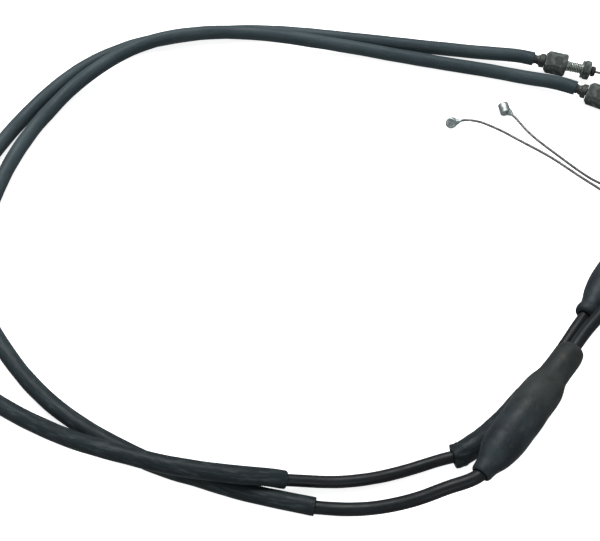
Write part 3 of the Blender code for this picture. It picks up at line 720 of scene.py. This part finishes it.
def sleeve(cable, route):
    """The outer sleeve. Both its ends are open, round the ferrule's neck and round the casing."""
    path = Path(smooth_route(route, ROUTE_STEP))
    end = path.length
    bore = SLEEVE_RADIUS - 0.9 * MM
    first_depth, last_depth = 3 * MM, 4 * MM
    worn, worn_length = 0.1 * MM, 1.5 * MM
    outline = [
        (first_depth, 0), (first_depth, bore), (0, bore), (0, SLEEVE_RADIUS - worn),
        (worn_length, SLEEVE_RADIUS), (end - worn_length, SLEEVE_RADIUS), (end, SLEEVE_RADIUS - worn),
        (end, bore), (end - last_depth, bore), (end - last_depth, 0),
    ]
    outline = refined(rounded(outline, 0.35 * MM), 2 * MM)
    seed = 0 if cable == "pull" else 7
    skin = surface(path, outline, even_angles(28), [lumps(0.18 * MM, 11 * MM, seed)])
    thing = piece(cable + "_sleeve_skin", cable + "_sleeve", [skin], MATERIALS["sleeve_plastic"])


def casing(name, route, radius, start, lead=4 * MM):
    """A length of casing, which starts a little way inside the sleeve or boot that it comes out of."""
    path = Path(smooth_route(route, ROUTE_STEP))
    outline = [(-lead, 0), (-lead, radius), (path.length, radius), (path.length, 0)]
    outline = refined(outline, 1.5 * MM)
    skin = surface(path, outline, even_angles(24), [lumps(0.08 * MM, 7 * MM, len(name))])
    thing = piece(name + "_skin", name, [skin], MATERIALS["casing_plastic"])
    return path


def strands(path, start, end):
    """A stranded wire: twelve strands laid round a core."""
    count = 12
    strand_radius = 0.155 * MM
    lay_radius = WIRE_RADIUS - strand_radius
    turn_length = 9 * MM
    rows = np.arange(start, end, 0.6 * MM)
    surfaces = [surface(path, [(start, 0), *[(row, lay_radius) for row in rows], (end, 0)], even_angles(12))]

    class Strand:
        """The centreline of one strand, in the wire's own directions."""

        def __init__(self, share):
            self.share = share

        def place(self, distance):
            centre, across, up = path.place(distance)
            angle = math.tau * (self.share + distance / turn_length)
            return centre + (across * math.cos(angle) + up * math.sin(angle)) * lay_radius, across, up

    for i in range(count):
        outline = [(start, 0), *[(row, strand_radius) for row in rows], (rows[-1], 0)]
        surfaces.append(surface(Strand(i / count), outline, even_angles(6)))
    return surfaces


def nipple_axis(cable, end):
    """A nipple's axis, from its middle towards the end that the record's mount is on."""
    mount = MOUNTS[f"{cable}_{end}_nipple_end"]
    low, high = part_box(f"{cable}_{end}_nipple")
    return Axis((low + high) / 2, mount["axis"])


def nipple(cable, end, wire_path):
    """A barrel nipple: a chamfered cast barrel, and the solder that runs out of it along the wire."""
    node = f"{cable}_{end}_nipple"
    axis = nipple_axis(cable, end)
    low, high, radius = span(node, axis)
    rim = 0.45 * MM
    dish = 0.15 * MM
    dish_edge, dish_floor = radius * 0.7, radius * 0.55
    outline = [
        (low + dish, 0), (low + dish, dish_floor), (low, dish_edge), (low, radius - rim), (low + rim, radius),
        (high - rim, radius), (high, radius - rim), (high, dish_edge), (high - dish, dish_floor),
        (high - dish, 0),
    ]
    outline = refined(rounded(outline, 0.2 * MM), 0.5 * MM)
    barrel = surface(axis, outline, even_angles(48), [lumps(0.06 * MM, 1.6 * MM, 3)])
    root = wire_path.length
    outline = [
        (root - 2.2 * MM, 0), (root - 2.2 * MM, WIRE_RADIUS * 1.05), (root - 1.2 * MM, WIRE_RADIUS * 1.4),
        (root, WIRE_RADIUS * 2.2), (root + 1.4 * MM, WIRE_RADIUS * 2.7), (root + 1.4 * MM, 0),
    ]
    outline = refined(rounded(outline, 0.4 * MM), 0.3 * MM)
    solder = surface(wire_path, outline, even_angles(24))
    return piece(node + "_cast", node, [barrel, solder], MATERIALS["nipple_zinc"])


def throttle_wire(cable, leg, leg_length, route):
    """The inner wire from inside the elbow to its nipple, and the nipple."""
    in_elbow = [leg.at(leg_length - back * MM) for back in (22, 15, 8, 1)]
    path = Path(smooth_route(in_elbow + route, ROUTE_STEP))
    barrel = nipple(cable, "throttle", path)
    node = cable + "_throttle_wire"
    wire = strands(path, 0, path.length + INTO_NIPPLE)
    thing = piece(node + "_strands", node, wire, MATERIALS["wire_steel"])
    leg.at(leg_length)


def carb_wire(cable, axis):
    """The inner wire that comes out of the carburettor fitting, and its nipple."""
    node = cable + "_carb_wire"
    start, end, _ = span(node, axis)
    inside = 10 * MM
    points = 36
    path = Path([axis.at(distance) for distance in np.linspace(start - inside, end, points)])
    barrel = nipple(cable, "carb", path)
    wire = strands(path, 0, path.length + INTO_NIPPLE)
    thing = piece(node + "_strands", node, wire, MATERIALS["wire_steel"])
    axis.at(start)


def boot(cable, axis, outside, inside):
    """A rubber boot: a soft lip, a wide barrel over the adjuster and a neck that hugs what comes out.

    Its closed outline starts and ends in the bore, partway along the barrel.
    """
    split = 5
    middle = tuple(np.add(inside[split - 1], inside[split]) / 2)
    outline = [middle, *reversed(inside[:split]), *outside, *reversed(inside[split:]), middle]
    outline = refined(rounded(outline, 1.2 * MM), 1.2 * MM)
    seed = 2 if cable == "pull" else 5
    skin = surface(axis, outline, even_angles(64), [lumps(0.3 * MM, 9 * MM, seed)])
    piece(cable + "_boot_skin", cable + "_boot", [skin], MATERIALS["boot_rubber"])


def carb_ferrule(cable, axis):
    """The crimped neck at the sleeve's end, its flange, and the spigot that the adjuster turns on."""
    node = cable + "_carb_ferrule"
    start, end, flange_radius = span(node, axis)
    neck = 2.7 * MM
    crimped_neck = neck - 0.3 * MM
    spigot = 1.9 * MM
    flange_start, flange_end = 3.4 * MM, 6.3 * MM
    inside_sleeve = start - 2.5 * MM
    middle = (inside_sleeve + end) / 2
    outline = [
        (middle, WIRE_BORE), (inside_sleeve, WIRE_BORE), (inside_sleeve, neck), (0.9 * MM, neck),
        (1.2 * MM, crimped_neck), (1.7 * MM, crimped_neck), (2.1 * MM, neck), (2.7 * MM, neck + 0.1 * MM),
        (flange_start - 0.1 * MM, neck + 0.5 * MM), (flange_start + 0.4 * MM, flange_radius),
        (flange_end, flange_radius), (flange_end, spigot), (end, spigot), (end, WIRE_BORE),
        (middle, WIRE_BORE),
    ]
    outline = refined(rounded(outline, 0.3 * MM), 0.5 * MM)
    skin = surface(axis, outline, even_angles(48), [lumps(0.12 * MM, 1.8 * MM, 1)])
    piece(node + "_crimped", node, [skin], MATERIALS["ferrule_steel"])


def adjuster(cable, axis):
    """Cone, hexagon and threaded stud in one piece."""
    node = cable + "_adjuster"
    start, end, corner = span(node, axis)
    hex_start, hex_end = start + 2 * MM, start + 12.6 * MM
    spigot_bore = 2.2 * MM
    spigot_depth = start + 3.4 * MM
    cone = 4.6 * MM
    chamfer, depth = 0.7 * MM, 1.2 * MM
    fillet = 0.3 * MM
    stud_chamfer = 0.5 * MM
    outline = [
        (spigot_depth, WIRE_BORE), (spigot_depth, spigot_bore), (start, spigot_bore), (start, cone),
        (hex_start, corner), (hex_end - chamfer, corner), (hex_end, corner - depth),
        (hex_end, STUD_RADIUS + fillet), (hex_end + fillet, STUD_RADIUS), (end - stud_chamfer, STUD_RADIUS),
        (end, STUD_RADIUS - stud_chamfer), (end, WIRE_BORE), (spigot_depth, WIRE_BORE),
    ]
    shapes = [hexagon(ADJUSTER_FLATS), screw_thread(hex_end + 0.4 * MM, end, 0.55 * MM)]
    outline = refined(rounded(outline, 0.2 * MM), THREAD_PITCH / 8)
    skin = surface(axis, outline, hexagon_angles(), shapes)
    piece(node + "_threaded", node, [skin], MATERIALS["plated_steel"])


def lock_nut(node, axis):
    """A hexagonal nut with chamfered faces."""
    start, end, corner = span(node, axis)
    chamfer, depth = NUT_CHAMFER
    middle = (start + end) / 2
    outline = [
        (middle, NUT_BORE), (start, NUT_BORE), (start, corner - depth), (start + chamfer, corner),
        (end - chamfer, corner), (end, corner - depth), (end, NUT_BORE), (middle, NUT_BORE),
    ]
    outline = refined(rounded(outline, 0.15 * MM), 0.15 * MM)
    skin = surface(axis, outline, hexagon_angles(), [hexagon(NUT_FLATS)])
    piece(node + "_hexagon", node, [skin], MATERIALS["plated_steel"])


def washer(node, axis):
    """A plain pressed ring with rounded edges."""
    start, end, radius = span(node, axis)
    middle = (start + end) / 2
    outline = [
        (middle, NUT_BORE), (start, NUT_BORE), (start, radius), (end, radius), (end, NUT_BORE),
        (middle, NUT_BORE),
    ]
    outline = refined(rounded(outline, 0.2 * MM), 0.5 * MM)
    skin = surface(axis, outline, even_angles(48), [lumps(0.04 * MM, 2 * MM, 4)])
    piece(node + "_pressed", node, [skin], MATERIALS["plated_steel"])


def end_cap(node, axis):
    """The black cap on the stud's end, slightly domed round the wire."""
    start, end, radius = span(node, axis)
    middle = (start + end) / 2
    dome, dome_radius = 0.7 * MM, radius * 0.78
    outline = [
        (middle, WIRE_BORE), (start, WIRE_BORE), (start, radius), (end - dome, radius), (end, dome_radius),
        (end, WIRE_BORE), (middle, WIRE_BORE),
    ]
    outline = refined(rounded(outline, 0.35 * MM), 0.4 * MM)
    skin = surface(axis, outline, even_angles(40), [lumps(0.05 * MM, 2 * MM, 6)])
    piece(node + "_moulded", node, [skin], MATERIALS["cap_rubber"])


def carb_end(cable, axis):
    """Everything beyond the sleeve's upper end."""
    carb_ferrule(cable, axis)
    adjuster(cable, axis)
    washer(cable + "_washer", axis)
    lock_nut(cable + "_lock_nut", axis)
    end_cap(cable + "_end_cap", axis)
    carb_wire(cable, axis)


def elbow_route(foot, leg, start, leg_length):
    """Straight up the foot's line, round a bend of constant radius, and straight out along the leg."""
    turn = math.acos(foot.direction.dot(leg.direction))
    tangent = PIPE_BEND * math.tan(turn / 2)
    bend_start = foot.at(-tangent)
    inwards = unit(leg.direction - foot.direction * leg.direction.dot(foot.direction))
    route = [foot.at(distance) for distance in np.arange(start, -tangent, ROUTE_STEP)]
    points_in_bend = 28
    for angle in np.linspace(0, turn, points_in_bend):
        forwards = foot.direction * math.sin(angle) * PIPE_BEND
        route.append(bend_start + forwards + inwards * (1 - math.cos(angle)) * PIPE_BEND)
    route += [leg.at(distance) for distance in np.arange(tangent + ROUTE_STEP, leg_length, ROUTE_STEP)]
    route.append(leg.at(leg_length))
    return route


def elbow(cable, foot, leg, start, leg_length, nut_start):
    """The bent pipe with its rolled end and the collar that keeps the union nut on it."""
    path = Path(elbow_route(foot, leg, start, leg_length))
    end = path.length
    collar_end = end - (leg_length - nut_start - COLLAR_BEYOND_NUT_START - COLLAR_LENGTH)
    collar_start = collar_end - COLLAR_LENGTH
    collar = 4.3 * MM
    outline = [
        (end / 2, PIPE_BORE), (0, PIPE_BORE), (0, PIPE_RADIUS), (collar_start, PIPE_RADIUS),
        (collar_start, collar), (collar_end, collar), (collar_end, PIPE_RADIUS), (end, PIPE_RADIUS),
        (end, PIPE_BORE), (end / 2, PIPE_BORE),
    ]
    outline = refined(rounded(outline, 0.35 * MM), 0.8 * MM)
    skin = surface(path, outline, even_angles(36), [lumps(0.06 * MM, 4 * MM, 8)])
    piece(cable + "_elbow_bent", cable + "_elbow", [skin], MATERIALS["plated_steel"])


def elbow_nut(cable, leg):
    """The union nut: a hexagon and a threaded spigot."""
    node = cable + "_elbow_nut"
    start, end, corner = span(node, leg)
    hexagon_end = start + 5 * MM
    spigot = 4.9 * MM
    spigot_chamfer = 0.5 * MM
    bore = PIPE_RADIUS + WALL_GAP
    chamfer, depth = NUT_CHAMFER
    middle = (start + end) / 2
    outline = [
        (middle, bore), (start, bore), (start, corner - depth), (start + chamfer, corner),
        (hexagon_end - chamfer, corner), (hexagon_end, corner - depth), (hexagon_end, spigot),
        (end - spigot_chamfer, spigot), (end, spigot - spigot_chamfer), (end, bore), (middle, bore),
    ]
    outline = refined(rounded(outline, 0.15 * MM), THREAD_PITCH / 8)
    shapes = [hexagon(ADJUSTER_FLATS), screw_thread(hexagon_end + 0.4 * MM, end, 0.5 * MM)]
    skin = surface(leg, outline, hexagon_angles(), shapes)
    piece(node + "_threaded", node, [skin], MATERIALS["plated_steel"])


def elbow_ferrule():
    """The ferrule crimped over the casing at the return elbow's foot."""
    node = "return_elbow_ferrule"
    start, end, radius = span(node, RETURN_FOOT)
    bore = PIPE_RADIUS + WALL_GAP
    middle = (start + end) / 2
    crimped = radius - 0.3 * MM
    half_top, half_floor = 0.7 * MM, 0.3 * MM
    outline = [(middle, bore), (start, bore), (start, radius)]
    for share in (0.3, 0.65):
        groove = start + (end - start) * share
        outline += [
            (groove - half_top, radius), (groove - half_floor, crimped),
            (groove + half_floor, crimped), (groove + half_top, radius),
        ]
    outline += [(end, radius), (end, bore), (middle, bore)]
    outline = refined(rounded(outline, 0.3 * MM), 0.4 * MM)
    skin = surface(RETURN_FOOT, outline, even_angles(48), [lumps(0.08 * MM, 2 * MM, 9)])
    piece(node + "_crimped", node, [skin], MATERIALS["ferrule_steel"])


def protector(casing_path):
    """The wear tube on the pull casing: a thin raised ring near its chewed lower end, and a slight taper."""
    start = 75 * MM
    end = start + 48 * MM
    radius = 5.3 * MM
    upper_radius = 4.6 * MM
    ring = radius + 0.25 * MM
    bore = 3.3 * MM
    middle = (start + end) / 2
    outline = [
        (middle, bore), (start, bore), (start, radius - 0.4 * MM), (start + 1.2 * MM, radius),
        (start + 3 * MM, radius), (start + 3.4 * MM, ring), (start + 4.4 * MM, ring),
        (start + 4.8 * MM, radius), (start + 24 * MM, radius), (end - 1 * MM, upper_radius),
        (end, upper_radius - 0.3 * MM), (end, bore), (middle, bore),
    ]
    outline = refined(rounded(outline, 0.4 * MM), 0.6 * MM)
    chewed_length, tooth, teeth = 4 * MM, 0.5 * MM, 4

    def chewed(distance, angle, radius):
        near_end = np.clip(1 - (distance - start) / chewed_length, 0, 1)
        outer = radius > bore * 1.2
        return radius + near_end * tooth * np.sin(angle * teeth + 1) * outer

    skin = surface(casing_path, outline, even_angles(48), [chewed, lumps(0.2 * MM, 4 * MM, 5)])
    piece("pull_protector_skin", "pull_protector", [skin], MATERIALS["protector_plastic"])


def pull_cable():
    """The pull cable, whose elbow comes straight out of its boot."""
    sleeve("pull", PULL_SLEEVE_ROUTE)
    lower_route = PULL_CASING_ROUTE + INTO_PULL_BOOT
    path = casing("pull_lower_casing", lower_route, PULL_CASING_RADIUS, PULL_SLEEVE_ROUTE[-1])
    throttle_wire("pull", PULL_LEG, PULL_LEG_LENGTH, PULL_WIRE_ROUTE)
    carb_end("pull", PULL_CARB)
    boot("pull", PULL_BOOT, PULL_BOOT_OUTSIDE, PULL_BOOT_INSIDE)
    protector(path)
    pipe_start = PULL_PIPE_IN_BOOT - np.linalg.norm(PULL_LEG.start - PULL_BOOT.start)
    elbow("pull", PULL_FOOT, PULL_LEG, pipe_start, PULL_LEG_LENGTH, PULL_ELBOW_NUT)
    elbow_nut("pull", PULL_LEG)


def return_cable():
    """The return cable, which has a second length of casing between its boot and its elbow."""
    sleeve("return", RETURN_SLEEVE_ROUTE)
    lower_route = RETURN_CASING_ROUTE + INTO_RETURN_BOOT
    casing("return_lower_casing", lower_route, RETURN_CASING_RADIUS, RETURN_SLEEVE_ROUTE[-1])
    upper_route = OUT_OF_RETURN_BOOT + RETURN_UPPER_CASING_ROUTE + INTO_RETURN_ELBOW
    casing("return_upper_casing", upper_route, RETURN_CASING_RADIUS, RETURN_BOOT.at(BOOT_LENGTH), 0)
    throttle_wire("return", RETURN_LEG, RETURN_LEG_LENGTH, RETURN_WIRE_ROUTE)
    carb_end("return", RETURN_CARB)
    boot("return", RETURN_BOOT, RETURN_BOOT_OUTSIDE, RETURN_BOOT_INSIDE)
    elbow_ferrule()
    elbow("return", RETURN_FOOT, RETURN_LEG, RETURN_PIPE_START, RETURN_LEG_LENGTH, RETURN_ELBOW_NUT)
    elbow_nut("return", RETURN_LEG)


def hidden_adjusters():
    """The in-line adjusters under the boots keep their CAD shapes and get worn metal."""
    for name, node in frame["nodes"].items():
        if "_inline_" in name:
            node.data.materials.clear()
            node.data.materials.append(CAD_MATERIALS[SLOT_OF[name]])


def floor():
    """A plain pale surface under the cables, 8 m square."""
    paint = Paint("floor_white", on_cad=True)
    tone = paint.noise(60 * MM, 1, 4)
    paint.set("Base Color", paint.mix(tone, (0.86, 0.86, 0.86), (0.9, 0.9, 0.9)))
    paint.set("Roughness", 0.9)
    paint.set("Specular IOR Level", 0.1)
    paint.set("Emission Color", (1.0, 1.0, 1.0))
    paint.set("Emission Strength", 0.8)
    mesh = bpy.data.meshes.new("floor")
    corners = [(-4, -4, 0), (4, -4, 0), (4, 4, 0), (-4, 4, 0)]
    mesh.from_pydata(corners, [], [(0, 1, 2, 3)])
    mesh.materials.append(paint.material)
    thing = bpy.data.objects.new("floor", mesh)
    thing.visible_glossy = False
    thing.visible_diffuse = False
    bpy.context.scene.collection.objects.link(thing)


def softbox(name, direction, distance, size, watts):
    """An oblong area light that faces the cables."""
    data = bpy.data.lights.new(name, "AREA")
    data.shape = "RECTANGLE"
    data.size, data.size_y = size
    data.energy = watts
    thing = bpy.data.objects.new(name, data)
    towards = Vector(direction).normalized()
    thing.location = towards * distance
    thing.rotation_euler = towards.to_track_quat("Z", "Y").to_euler()
    bpy.context.scene.collection.objects.link(thing)


def studio():
    """Soft light from above and a little behind, with a pale surrounding."""
    softbox("overhead_light", (-0.2, 0.6, 1.0), distance=1.1, size=(0.9, 0.6), watts=14)
    softbox("front_light", (0.3, -1.0, 0.7), distance=1.6, size=(1.0, 0.6), watts=4)
    world = bpy.data.worlds.new("pale_surroundings")
    world.use_nodes = True
    background = world.node_tree.nodes["Background"]
    background.inputs["Color"].default_value = (0.93, 0.96, 1.0, 1)
    background.inputs["Strength"].default_value = 0.36
    bpy.context.scene.world = world
    bpy.context.scene.view_settings.view_transform = "Standard"


camera()
pull_cable()
return_cable()
hidden_adjusters()
floor()
studio()
